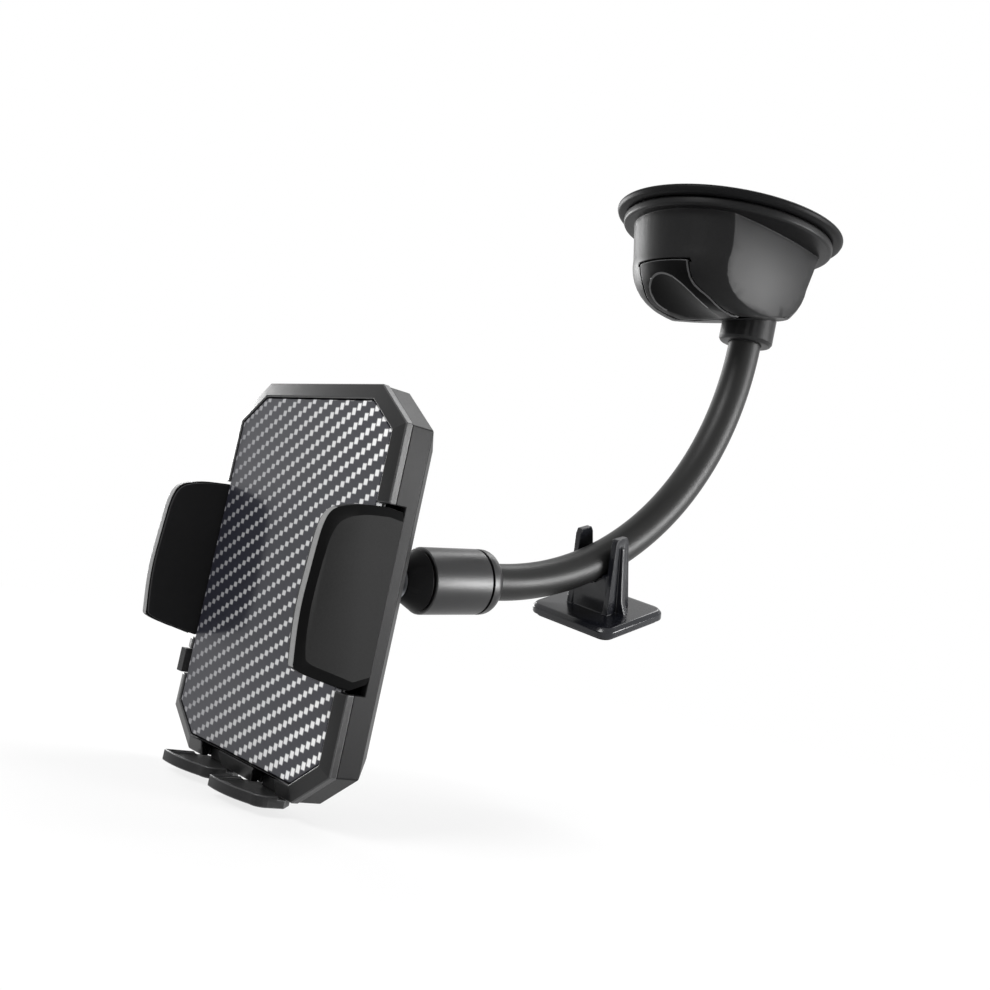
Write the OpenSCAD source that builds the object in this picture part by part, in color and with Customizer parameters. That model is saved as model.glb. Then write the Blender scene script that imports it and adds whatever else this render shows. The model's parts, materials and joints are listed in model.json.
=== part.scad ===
// Suction cup phone holder: a lever-locked cup, a bendable neck with a ball joint,
// a clamping cradle with a rack-and-pinion, bottom feet and a dash support foot.
// Frame: origin at the centre of the cup's sealing face, +Z out of that face.

/* [Suction cup] */
// Radius of the rubber disc
cup_r = 34.4; // [33:0.2:36]
// Thickness of the rubber rim
rim_h = 2.4; // [2:0.1:3]
// Radius of the hard flange under the rubber
flange_r = 31.8; // [31:0.1:32.4]
// Thickness of the flange
flange_h = 2.6; // [2.2:0.1:3]
// Height of the whole cup head
head_h = 30; // [29.5:0.1:31]
// Radius of the dome below the flange
dome_r = 28.4; // [28:0.1:29]
// Radius of the dome's rounded lower corner
dome_corner = 14; // [13:0.2:14.6]
// Wall of the dome
dome_wall = 2.2; // [1.8:0.1:2.4]
// How far each side of the dome is cut in at its top
cheek_cut = 6.4; // [6:0.2:7]

/* [Lever] */
// Half width of the lever at its widest
lever_half_w = 12.1; // [11.5:0.1:12.4]
// Half width of the lever's heel
lever_tail_half_w = 6.6; // [6.4:0.1:7]
// Thickness of the lever
lever_t = 4.4; // [3.8:0.1:4.6]
// Distance of the lever's pin above the lowest point of the head
pin_up = 8.5; // [8.2:0.1:8.8]
// Radius of the lever's pin
pin_r = 1.5; // [1.2:0.1:1.6]
// How far the lever turns
lever_turn = 65; // [60:1:66]
// How far the stem rises when the lever opens
stem_lift = 2.5; // [2:0.1:2.6]

/* [Neck] */
// Outer radius of the bendable neck
neck_r = 5; // [4.6:0.1:5.2]
// Radius of the neck's steel core
core_r = 3; // [2.4:0.1:3.2]
// Radius of the curve that the neck is bent to
bend_r = 90.4; // [86:0.2:95]
// Angle of that curve
bend_angle = 81.35; // [76:0.05:84]
// Distance of the neck behind the cup's axis
neck_back = 17.4; // [17:0.1:17.8]
// Radius of the collar at the neck's upper end
collar_r = 8.3; // [8:0.1:8.6]

/* [Ball joint] */
// Outer radius of the lock sleeve
sleeve_r = 8.7; // [8.5:0.1:9.2]
// Length of the joint behind its front rim
joint_len = 22.8; // [22:0.2:25]
// Radius of the ball
ball_r = 6; // [5.9:0.1:6.2]
// Radius of the stud's shank
shank_r = 2.2; // [2:0.1:2.4]

/* [Cradle] */
// Width of the cradle
cradle_w = 77.3; // [76.5:0.1:79]
// Height of the cradle
cradle_h = 94; // [92:0.5:98]
// Corner cut along the width
corner_x = 12.6; // [11.5:0.1:13.5]
// Corner cut along the height
corner_z = 8.5; // [7.5:0.1:9.5]
// Depth of the cradle's housing behind its front edge
cradle_d = 12.5; // [12:0.1:14]
// Wall of the rear shell
shell_wall = 1.8; // [1.4:0.1:2]
// Travel of each clamp arm
arm_travel = 9; // [6:0.5:9]
// Height of the clamp arms
arm_h = 39.8; // [38:0.2:40]
// How far the clamp arms reach in front of the cradle
arm_reach = 17.7; // [15:0.1:20]
// Thickness of a clamp arm
arm_t = 3; // [2.4:0.1:3.4]
// Thickness of the rubber pad on an arm
pad_t = 0.9; // [0.6:0.1:1.1]

/* [Gear] */
// Teeth of the pinion
pinion_teeth = 12; // [12:1:12]
// Pitch radius of the pinion
pinion_r = 5; // [4.8:0.1:5.2]
// Play between meshing teeth
tooth_play = 0.2; // [0.15:0.05:0.3]

/* [Bottom feet] */
// Width of each foot
foot_span = 18.4; // [17:0.2:20]
// How far the feet reach in front of the cradle
feet_reach = 8.6; // [7:0.1:10]
// How far the feet can be pulled down
feet_travel = 12; // [8:0.5:12]

/* [Support foot] */
// Place of the support foot along the neck's curve
foot_place = 57.9; // [50:0.5:62]
// Width of the support foot's plate
foot_w = 30; // [27:0.5:32]
// Length of the support foot's plate
foot_l = 27.4; // [26:0.2:30]
// Thickness of the plate
foot_t = 2.8; // [2.4:0.1:3.2]
// Height of the prongs above the plate
prong_h = 22.2; // [20:0.2:23]
// Height of the neck above the plate
foot_drop = 14.4; // [14:0.1:15]

/* [Hidden] */
$fn = 96;
// Overrun of every cut
over = 0.6;
// Play between pieces that don't touch, running play, and the seam between the shells
gap = 0.3;
run = 0.05;
seam = 0.1;

// Cup head
flange_top = -rim_h - gap;
flange_bottom = flange_top - flange_h;
cup_under = 1.9;
hub_r = 8;
hub_z = -5.6;
web_t = 2;
web_bottom = -15.5;
web_top = web_bottom + web_t;
dome_mid_r = 26.5;
dome_mid_z = -head_h + dome_corner;
dome_flat_r = dome_mid_r - dome_corner;
edge_round = 0.8;
cheek_r = 112;
cheek_drop = 4;
cheek_top_z = -4;
cheek_offset = cheek_r - dome_r + cheek_cut;
pin_z = -head_h + pin_up;
// The dome's floor rises to the back
floor_y = -2;
floor_rise = 0.25;
floor_reach = 2 * dome_r;
// Stem
stem_r = 2.7;
stem_plate_r = 5.5;
stem_plate_t = 1.4;
stem_plate_z = -3.1;
stem_flange_r = 4.7;
stem_flange_z = hub_z - gap;
stem_flange_t = 1.2;
eye_r = 3;
eye_w = 6;
spring_wire = 0.7;
spring_r = 3.9;
spring_turns = 4;
// Lever
cam_lead = 57;
cam_off = stem_lift / (cos(cam_lead) - cos(cam_lead + lever_turn));
cam_r = web_bottom - pin_z - cam_off * cos(cam_lead) - gap / 2;
ear_in = eye_w / 2 + gap;
ear_t = 2.8;
lever_top_z = -19.6;
lever_top_half_w = 9.7;
lever_back_half_w = 10.4;
lever_back_y = 2.4;
// Half widths between the top, the widest place and the back, and where they stand along the lever
lever_wide_y = -14.6;
lever_waist_y = -21.5;
slot_shift = 2.4;
slot_play = 0.4;
pocket_y = -6.4;
heel_r = pin_up;
heel_y = 4.4;
dish_r = 17;
dish_path_r = 58.8;
dish_y0 = -25.3;
dish_z0 = -22.8;
dish_y1 = 0.5;
dish_z1 = -28.9;
// Collar and neck
collar_top = -18.5;
collar_bottom = -head_h - rim_h - gap / 2;
collar_key_in = 6.2;
collar_key_y = neck_back - collar_key_in;
collar_key_z = floor_rise * (neck_back - collar_r - floor_y) - head_h + dome_wall + gap;
collar_lip = 0.5;
boss_wall = 1.4;
neck_top = collar_bottom + gap * 2;
neck_root = collar_top - 3.5;
neck_cy = neck_back - bend_r;
neck_end_y = neck_cy + bend_r * cos(bend_angle);
neck_end_z = neck_top - bend_r * sin(bend_angle);
elev = 90 - bend_angle;
neck_screw_r = 1.45;
neck_screw_head_r = 2.9;
neck_screw_head_t = 1.8;
// Ball joint
joint_stand = 4.8;
joint_y = neck_end_y - (joint_len + joint_stand) * cos(elev);
joint_z = neck_end_z - (joint_len + joint_stand) * sin(elev);
ball_s = -2;
ball_y = joint_y + ball_s * cos(elev);
ball_z = joint_z + ball_s * sin(elev);
cap_h = 4.1;
cap_round = 3;
collet_r = 6.9;
nose_r = 8;
nose_tip_r = 4.9;
nose_tip_s = -6;
mouth_open_r = 4.2;
seat_r = 4.9;
seat_s = 9;
neck_plug_s = 12;
// Cradle
ball_back = 37.1;
ball_up = 5.2;
cradle_y = ball_y - ball_back;
cradle_z = ball_z - ball_up;
bevel_in = 3.3;
bevel_rise = 1.6;
lip_in = 3.8;
ledge_in = 6.5;
band = 1.8;
plate_gap = 0.3;
plate_front = -0.5;
plate_back = 1.1;
shell_in = 0.25;
side_d = 6.4;
rear_in = 5.5;
stud_boss_r = 9;
stud_boss_d = 20;
stud_bore_r = 3.05;
// Distance from the ball's centre to the boss
stud_boss_y = ball_back - stud_boss_d;
notch_half_h = arm_h / 2 + 2 * gap + seam;
notch_x = cradle_w / 2 - lip_in;
screw_in_x = 10.65;
screw_in_z = 13;
screw_x = cradle_w / 2 - screw_in_x;
screw_z = cradle_h / 2 - screw_in_z;
pillar_r = 2.8;
pillar_end = 9.3;
screw_r = 1.15;
screw_head_r = 2.3;
screw_head_t = 1.3;
// Clamp mechanism: depths behind the cradle's front edge
rack_d0 = 2;
rack_d1 = 4.2;
guide_d0 = rack_d1 + gap / 2;
guide_t = 1.2;
guide_in = 6.25;
guide_half_w = cradle_w / 2 - guide_in;
guide_up = 15;
guide_down = 19.5;
tooth_pitch = 2 * PI * pinion_r / pinion_teeth;
tooth_slope = 20;
rack_add = 0.55;
rack_ded = 0.85;
pinion_add = 0.6;
pinion_ded = 0.75;
tongue_edge = 12.6;
tongue_end = arm_travel + 6;
rail_t = 1.4;
axle_r = 1.5;
axle_head_r = 2.8;
axle_head_t = 0.9;
arm_in = 2.25;
arm_inner_x = cradle_w / 2 - arm_in;
arm_bevel = 0.9;
arm_border = 2.1;
arm_rear_d = 4.2;
ratchet_pitch = arm_travel / 8;
ratchet_depth = 0.6;
ratchet_teeth = 11;
ratchet_play = 0.4;
pawl_clear = 0.12;
// Latch pawl, turning on its pin
pawl_x = -22;
pawl_z = -15.4;
pawl_pin_r = 1;
pawl_hub_r = 2;
pawl_tip_x = 7.6;
pawl_tip_z = -tongue_edge - pawl_clear - pawl_z;
pawl_tail_x = -6.2;
pawl_tail_z = -0.9;
pawl_arm_w = 1.2;
// Release button
button_z = -26.7;
button_h = 6;
button_out = 0.85;
button_d0 = -1.4;
button_d1 = 1.4;
slider_h = 3;
slider_end_x = pawl_x - 5;
ramp_x0 = slider_end_x - 3.4;
ramp_x1 = slider_end_x - 0.4;
ramp_share = 0.87;
button_in = 2;
spring_room = 5.6;
post_x = slider_end_x + spring_room;
post_t = 1.2;
small_wire = 0.5;
small_spring_r = 1.15;
// Arm spring
arm_spring_z = 9.2;
arm_post_x = post_t - guide_half_w;
// Feet
leg_in = 8.6;
leg_out = 18;
slot_out = 18.6;
tab_round = 4.6;
tab_turn = 48;
leg_d0 = 2.1;
leg_d1 = 4.3;
carrier_hold = 12;
carrier_top = carrier_hold + feet_travel - cradle_h / 2;
carrier_bar = 6;
shelf_t = 1.5;
shelf_top = -cradle_h / 2 - 3 * gap;
foot_lip_t = 1.7;
foot_lip_h = 1.2;
foot_lip_top = shelf_top + foot_lip_h;
foot_gap = 3.3;
foot_bow = 1.1;
foot_sweep = 2.4;
foot_end_r = 3;
foot_ledge = 0.5;
// Support foot
foot_round = 4;
foot_bevel = 1;
foot_pitch = 21.2;
foot_roll = 7;
foot_yaw = 10;
prong_in = 5.7;
prong_t = 1.9;
prong_base_half = 5;
prong_top_half = 2.8;
rib_t = 1.8;
rib_out = 1.6;
saddle_z = 11.5;
saddle_half = 4.4;
foot_pad_t = 1;
foot_pad_inset = 1.4;

// Points along an arc round [cx, cy]
function arc(cx, cy, r, a0, a1, n) = [for (i = [0:n]) let (a = a0 + (a1 - a0) * i / n) [cx + r * cos(a),
    cy + r * sin(a)]];

// Points along a circle's arc from p to q that bulges by sag to the right of the way
function bow(p, q, sag, n) = let (d = q - p, len = norm(d), m = (p + q) / 2, side = [d[1], -d[0]] / len,
  r = (len * len / 4 + sag * sag) / (2 * sag), c = m - side * (r - sag), a = asin(len / 2 / r),
      b = atan2(side[1], side[0]))
  [for (i = [0:n]) let (t = b - a + 2 * a * i / n) c + r * [cos(t), sin(t)]];

// A smooth line through points, with n steps between each two
function spline(p, n) = [for (i = [0:len(p) - 2]) let (a = p[max(i - 1, 0)], b = p[i], c = p[i + 1],
    d = p[min(i + 2, len(p) - 1)])
  for (k = [0:n - 1]) let (t = k / n) b + t / 2 * (c - a) + t * t * (a - 2.5 * b + 2 * c - d / 2) +
      t * t * t * (1.5 * (b - c) + (d - a) / 2)];

// Octagon of the cradle, drawn in from its outline
function octagon(inset) = let (w = cradle_w / 2, h = cradle_h / 2, len = norm([corner_x, corner_z]),
  tx = w - corner_x + inset * (corner_x - len) / corner_z, sz = h - corner_z +
      inset * (corner_z - len) / corner_x)
  [[tx, h - inset], [w - inset, sz], [w - inset, -sz], [tx, inset - h], [-tx, inset - h], [inset - w,
      -sz], [inset - w, sz], [-tx, h - inset]];

// Frames
module on_joint() translate([0, joint_y, joint_z]) rotate([elev - 90, 0, 0]) children();
module in_cradle() translate([0, cradle_y, cradle_z]) children();
// A flat outline of the cradle from depth d0 to d1
module slab(points, d0, d1) translate([0, d1, 0]) rotate([90, 0,
    0]) linear_extrude(d1 - d0) polygon(points);
// A side outline (depth, height) from x0 to x1
module side_slab(points, x0, x1) translate([x0, 0, 0]) rotate([90, 0,
    90]) linear_extrude(x1 - x0) polygon(points);
module block(x0, x1, y0, y1, z0, z1) translate([x0, y0, z0]) cube([x1 - x0, y1 - y0, z1 - z0]);
// A round bar along the depth of the cradle
module post(x, z, r, d0, d1) translate([x, d1, z]) rotate([90, 0, 0]) cylinder(r = r, h = d1 - d0);
module cross_bar(y, z, r, x0, x1) translate([x0, y, z]) rotate([0, 90, 0]) cylinder(r = r, h = x1 - x0);

// A coil spring along +Z from the origin, with six sides and eight rings a turn
function ring_at(i, rings, r, wire, turns, h) = let (a = 360 * turns * i / rings,
    z = wire + (h - 2 * wire) * i / rings)
  [for (k = [0:5]) let (b = 60 * k, q = r + wire / 2 * cos(b)) [q * cos(a), q * sin(a),
      z + wire / 2 * sin(b)]];
module coil(r, wire, turns, h) {
  rings = 8 * turns;
  sides = 6;
  points = [for (i = [0:rings]) each ring_at(i, rings, r, wire, turns, h)];
  walls = [for (i = [0:rings - 1]) for (k = [0:sides - 1]) let (n = (k + 1) % sides) each
    [[sides * i + k, sides * (i + 1) + k, sides * (i + 1) + n], [sides * i + k, sides * (i + 1) + n,
        sides * i + n]]];
  ends = [[for (k = [0:sides - 1]) k], [for (k = [sides - 1:-1:0]) sides * rings + k]];
  polyhedron(points = points, faces = concat(walls, ends), convexity = 6);
}

// Suction cup: flat sealing face, thick rim and a hub that holds the stem's plate
module suction_cup() color("#1d1d1f") rotate_extrude() difference() {
  polygon([[0, 0], [cup_r - rim_h / 8, 0], [cup_r, -rim_h / 4], [cup_r - rim_h / 3, -rim_h + rim_h / 8],
      [cup_r - rim_h / 2, -rim_h],
    [cup_r - 2 * rim_h, -rim_h], [cup_r - 2.6 * rim_h, -cup_under], [hub_r + cup_under, -cup_under],
        [hub_r, -cup_under - rim_h / 3], [hub_r - rim_h / 4, hub_z], [0, hub_z]]);
  polygon([[0, stem_plate_z], [stem_plate_r, stem_plate_z], [stem_plate_r, stem_plate_z - stem_plate_t],
    [stem_r, stem_plate_z - stem_plate_t], [stem_r, hub_z - over], [0, hub_z - over]]);
}

// Outer or inner form of the dome: a revolved bowl with a flattened cheek on each side
module bowl(inset, top) rotate_extrude() polygon(concat([[0, top], [dome_r - inset, top],
    [dome_r - inset, flange_bottom]],
  arc(dome_flat_r, dome_mid_z, dome_corner - inset, 0, -90, 10), [[0, inset - head_h]]));
module cheek_barrel(inset) rotate_extrude($fn = 160) polygon(concat([[0, over], [cheek_r - inset, over]],
  [for (i = [0:8]) let (s = i / 8) [cheek_r - inset - cheek_drop * s * s,
      cheek_top_z - (head_h + cheek_top_z) * s]], [[0, -head_h]]));
module dome_form(inset, top) intersection() {
  bowl(inset, top);
  side_slab([[-floor_reach, floor_reach], [-floor_reach, inset - head_h], [floor_y, inset - head_h],
    [floor_reach, inset - head_h + floor_rise * (floor_reach - floor_y)], [floor_reach, floor_reach]],
        -floor_reach, floor_reach);
  translate([-cheek_offset, 0, 0]) cheek_barrel(inset);
  translate([cheek_offset, 0, 0]) cheek_barrel(inset);
}

// One edge of the lever seen from below, as (half width, y), from its top end to its back
function lever_edge(grow) = concat([[lever_top_half_w + grow, -cup_r]],
  spline([[lever_top_half_w + grow, -dome_r], [lever_top_half_w + grow, lever_waist_y],
      [lever_half_w + grow, lever_wide_y],
    [(lever_half_w + lever_back_half_w) / 2 + grow, (lever_wide_y + lever_back_y) / 2],
        [lever_back_half_w + grow, lever_back_y - pin_r]], 4),
  [[lever_back_half_w + grow, lever_back_y - pin_r], [lever_back_half_w - pin_r + grow,
      lever_back_y + grow], [lever_tail_half_w + grow, lever_back_y + grow]]);
function lever_outline(grow) = let (e = lever_edge(grow), n = len(e) - 1)
  concat([for (p = e) p], [[lever_tail_half_w + grow, heel_y + grow], [-lever_tail_half_w - grow,
      heel_y + grow]], [for (i = [n:-1:0]) [-e[i][0], e[i][1]]]);
module lever_prism(grow, shift, top) translate([0, 0, -head_h - over]) linear_extrude(top + head_h + over)
  for (i = [0:3]) translate([0, shift * i / 3]) polygon(lever_outline(grow));

// Cup housing: flange, dome, inner web with the stem's guide, lever slot and collar socket
module cup_housing() color("#2c2d31") difference() {
  union() {
    rotate_extrude() polygon(concat([[0, flange_top], [flange_r - edge_round / 2, flange_top], [flange_r,
        flange_top - edge_round / 2]],
      arc(flange_r - edge_round, flange_bottom + edge_round, edge_round, 0, -90, 4), [[0, flange_bottom]]));
    dome_form(0, flange_top);
  }
  difference() {
    dome_form(dome_wall, over);
    block(-dome_r, dome_r, -dome_r, dome_r, web_bottom, web_top);
    intersection() {
      translate([0, neck_back, -head_h]) cylinder(r = collar_r + gap + boss_wall, h = head_h + web_bottom);
      block(-dome_r, dome_r, collar_key_y - boss_wall, dome_r, -head_h, web_bottom);
    }
  }
  translate([0, 0, -head_h]) cylinder(r = stem_r + run, h = head_h);
  difference() {
    lever_prism(slot_play, slot_shift, lever_top_z + slot_play);
    block(-dome_r, dome_r, lever_back_y + slot_shift + slot_play, dome_r, -head_h - over, web_bottom);
  }
  intersection() {
    union() {
      cross_bar(0, pin_z, heel_r + gap, -lever_half_w - slot_play, lever_half_w + slot_play);
      cross_bar(0, pin_z + stem_lift, heel_r + gap, -lever_half_w - slot_play, lever_half_w + slot_play);
      block(-lever_half_w - slot_play, lever_half_w + slot_play, 0, heel_r + gap, pin_z, pin_z + stem_lift);
      block(-lever_half_w - slot_play, lever_half_w + slot_play, pocket_y, 0, -head_h - over, pin_z);
    }
    block(-dome_r, dome_r, pocket_y, dome_r, -head_h - over, web_bottom - gap);
  }
  collar_form(run, collar_top + run);
  translate([0, neck_back, -head_h]) cylinder(r = neck_screw_r + run, h = head_h);
  translate([0, neck_back, web_top - run]) cylinder(r = neck_screw_head_r + gap, h = -web_top);
}

// The collar's outer form, keyed where it stands inside the head
module collar_form(grow, top) difference() {
  translate([0, neck_back, collar_bottom - over]) cylinder(r = collar_r + grow,
      h = top - collar_bottom + over);
  block(-collar_r * 2, collar_r * 2, neck_back - collar_r * 2, collar_key_y - grow, collar_key_z + grow, 0);
}
module neck_collar() color("#333438") difference() {
  intersection() {
    collar_form(0, collar_top);
    translate([0, neck_back, 0]) rotate_extrude() polygon([[0, collar_bottom],
        [collar_r - 2 * collar_lip, collar_bottom],
      [collar_r - collar_lip, collar_bottom + collar_lip / 3], [collar_r,
          collar_bottom + 2 * collar_lip], [collar_r, 0], [0, 0]]);
  }
  translate([0, neck_back, collar_bottom - over]) cylinder(r = neck_r + run,
      h = neck_root - collar_bottom + over);
  translate([0, neck_back, collar_bottom]) cylinder(r = neck_screw_r, h = -collar_bottom);
}
module neck_screw() color("#8a8c90") translate([0, neck_back, 0]) difference() {
  union() {
    translate([0, 0, web_top]) cylinder(r = neck_screw_head_r, h = neck_screw_head_t);
    translate([0, 0, neck_root + gap]) cylinder(r = neck_screw_r, h = web_top - neck_root);
  }
  translate([0, 0, web_top + neck_screw_head_t / 2]) cylinder(r = neck_screw_head_r / 2,
      h = neck_screw_head_t, $fn = 6);
}

// Pull stem: plate held in the rubber hub, shank through the web, eye for the lever's pin
module pull_stem() color("#b9bbbf") difference() {
  union() {
    translate([0, 0, stem_plate_z - stem_plate_t]) cylinder(r = stem_plate_r, h = stem_plate_t);
    translate([0, 0, pin_z]) cylinder(r = stem_r, h = stem_plate_z - stem_plate_t - pin_z);
    translate([0, 0, stem_flange_z - stem_flange_t]) cylinder(r = stem_flange_r, h = stem_flange_t);
    cross_bar(0, pin_z, eye_r, -eye_w / 2, eye_w / 2);
  }
  cross_bar(0, pin_z, pin_r, -eye_w, eye_w);
}
module stem_spring() color("#a8abb0") translate([0, 0, web_top]) coil(spring_r, spring_wire,
    spring_turns, stem_flange_z - stem_flange_t - web_top);

// Lever: a thick curved plate that continues the head's surface, a thumb dish and two round cams
module lever() color("#2a2b2e") difference() {
  union() {
    difference() {
      intersection() {
        lever_prism(0, 0, lever_top_z);
        dome_form(0, flange_top);
      }
      dome_form(lever_t, over);
      difference() {
        block(-dome_r, dome_r, 0, dome_r, -head_h - over, 0);
        cross_bar(0, pin_z, heel_r, -dome_r, dome_r);
      }
    }
    for (side = [-1, 1]) translate([side > 0 ? ear_in : -ear_in - ear_t, 0, 0]) {
      translate([0, -cam_off * sin(cam_lead), pin_z + cam_off * cos(cam_lead)]) rotate([0, 90,
          0]) cylinder(r = cam_r, h = ear_t);
      block(0, ear_t, -pin_up / 2, eye_r, -head_h + lever_t - over, pin_z);
    }
  }
  cross_bar(0, pin_z, pin_r + run, -dome_r, dome_r);
  dish();
}
// The thumb dish is cut by a large ring that follows the head's lower corner
module dish() {
  chord = norm([dish_y1 - dish_y0, dish_z1 - dish_z0]);
  lean = atan2(dish_z1 - dish_z0, dish_y1 - dish_y0);
  rise = sqrt(dish_path_r * dish_path_r - chord * chord / 4);
  translate([0, (dish_y0 + dish_y1) / 2 - rise * sin(lean), (dish_z0 + dish_z1) / 2 + rise * cos(lean)])
    rotate([0, 90, 0]) rotate_extrude($fn = 180) translate([dish_path_r + dish_r, 0]) circle(r = dish_r);
}
module lever_pin() color("#c4c6ca") cross_bar(0, pin_z, pin_r, -ear_in - ear_t + gap, ear_in + ear_t - gap);

// Neck: a tube of constant radius along a straight root, the bend and a straight end
module neck_path(r) {
  translate([0, neck_back, neck_top]) cylinder(r = r, h = neck_root - neck_top);
  translate([0, neck_cy, neck_top]) rotate([0, 90, 0]) rotate_extrude(angle = bend_angle, start = elev,
      $fn = 120) translate([bend_r, 0]) circle(r = r, $fn = 48);
  on_joint() translate([0, 0, neck_plug_s]) cylinder(r = r, h = joint_len + joint_stand - neck_plug_s +
      run);
}
module gooseneck_sleeve() color("#26272a") difference() {
  neck_path(neck_r);
  neck_path(core_r + seam);
}
module gooseneck_core() color("#9a9da3") neck_path(core_r);

// Ball joint
module rear_cap() color("#222326") on_joint() rotate_extrude() polygon(concat([[neck_r + run,
    joint_len - cap_h + seam], [sleeve_r, joint_len - cap_h + seam]],
  arc(sleeve_r - cap_round, joint_len - cap_round, cap_round, 0, 90, 6), [[neck_r + run, joint_len]]));
module socket_collet() color("#2b2c30") on_joint() difference() {
  rotate_extrude() polygon([[0, nose_tip_s], [nose_tip_r - gap, nose_tip_s], [nose_tip_r,
      nose_tip_s + gap], [nose_r, -2 * gap], [nose_r, -gap],
    [collet_r, -gap], [collet_r, joint_len - cap_h], [0, joint_len - cap_h]]);
  translate([0, 0, ball_s]) sphere(r = ball_r + run);
  translate([0, 0, nose_tip_s - over]) cylinder(r = mouth_open_r, h = -nose_tip_s);
  cylinder(r = seat_r + run, h = seat_s);
  translate([0, 0, seat_s - run]) cylinder(r = seat_r - gap, h = neck_plug_s - seat_s);
  translate([0, 0, neck_plug_s - run]) cylinder(r = neck_r + run, h = joint_len);
}
module joint_sleeve() color("#232427") on_joint() rotate_extrude() polygon([[collet_r + run, 0],
    [sleeve_r - 2 * gap, 0], [sleeve_r, 2 * gap],
  [sleeve_r, joint_len - cap_h - gap], [collet_r + run, joint_len - cap_h - gap]]);
module ball_seat() color("#d8d8d4") on_joint() difference() {
  cylinder(r = seat_r, h = seat_s - run);
  translate([0, 0, ball_s]) sphere(r = ball_r + run);
}
module ball_stud() color("#7d8086") translate([0, ball_y, ball_z]) {
  sphere(r = ball_r);
  rotate([90, 0, 0]) difference() {
    union() {
      cylinder(r = shank_r, h = stud_boss_y);
      translate([0, 0, stud_boss_y - shank_r - 2 * gap]) cylinder(r1 = shank_r, r2 = 1.6 * shank_r,
          h = shank_r);
      translate([0, 0, stud_boss_y - 2 * gap]) cylinder(r = 1.6 * shank_r, h = gap);
      translate([0, 0, stud_boss_y - 2 * gap]) cylinder(r = stud_bore_r - run,
          h = stud_boss_d + 3 * gap - cradle_d + shell_wall);
    }
    translate([0, 0, stud_boss_y]) cylinder(r = screw_r, h = ball_back);
  }
}
module stud_washer() color("#8c8f94") translate([0, cradle_y + cradle_d - shell_wall - gap,
    ball_z]) rotate([90, 0, 0]) difference() {
  cylinder(r = 2 * stud_bore_r, h = rail_t);
  translate([0, 0, -over]) cylinder(r = screw_r + run, h = rail_t + 2 * over);
}
module stud_screw() color("#9b9ea3") translate([0, cradle_y + cradle_d - shell_wall - gap - rail_t,
    ball_z]) rotate([90, 0, 0]) {
  cylinder(r = screw_head_r, h = screw_head_t);
  translate([0, 0, -2 * rail_t]) cylinder(r = screw_r - run, h = 2 * rail_t);
}

// Cradle: front frame with a bevelled edge, arm notches, slots for the feet and four pillars
module slot_outline() for (side = [0, 1]) mirror([side, 0]) polygon(concat([[slot_out,
    -cradle_h / 2 - over], [slot_out, lip_in - cradle_h / 2 - gap]],
  arc(leg_in - tab_round, lip_in - cradle_h / 2 - gap, tab_round, 0, -tab_turn, 5),
      [[leg_in - tab_round / 2, -cradle_h / 2 - over]]));
module front_bezel() color("#2f3034") in_cradle() difference() {
  union() {
    hull() {
      slab(octagon(0), 0, band);
      slab(octagon(bevel_in), -bevel_rise, 0);
    }
    for (x = [-screw_x, screw_x]) for (z = [-screw_z, screw_z]) post(x, z, pillar_r, plate_back + run,
        pillar_end);
    for (x = [-screw_x, screw_x]) for (z = [-screw_z, screw_z])
      block(min(x, sign(x) * (cradle_w / 2 - lip_in)), max(x, sign(x) * (cradle_w / 2 - lip_in)),
          plate_back + run, band, z - pillar_r, z + pillar_r);
  }
  slab(octagon(lip_in), -bevel_rise - over, plate_back + run);
  difference() {
    slab(octagon(ledge_in), 0, band + over);
    for (x = [-screw_x, screw_x]) for (z = [-screw_z, screw_z]) {
      post(x, z, pillar_r, 0, cradle_d);
      block(min(x, sign(x) * cradle_w / 2), max(x, sign(x) * cradle_w / 2), 0, cradle_d, z - pillar_r,
          z + pillar_r);
    }
  }
  for (side = [-1, 1]) block(side > 0 ? notch_x : -cradle_w, side > 0 ? cradle_w : -notch_x, -cradle_d,
      cradle_d, -notch_half_h, notch_half_h);
  for (x = [-screw_x, screw_x]) for (z = [-screw_z, screw_z]) post(x, z, screw_r + run, band, cradle_d);
  translate([0, band + over, 0]) rotate([90, 0, 0]) linear_extrude(band + bevel_rise +
      2 * over) slot_outline();
  button_window();
}
// The opening in the left side for the release button
module button_window() block(-cradle_w, -cradle_w / 2 + lip_in + gap, button_d0 - gap, rack_d1 + gap,
    button_z - button_h / 2 - gap, button_z + button_h / 2 + gap);
module carbon_plate() color("#4a4a52") in_cradle() slab(octagon(lip_in + plate_gap), plate_front,
    plate_back);

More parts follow.
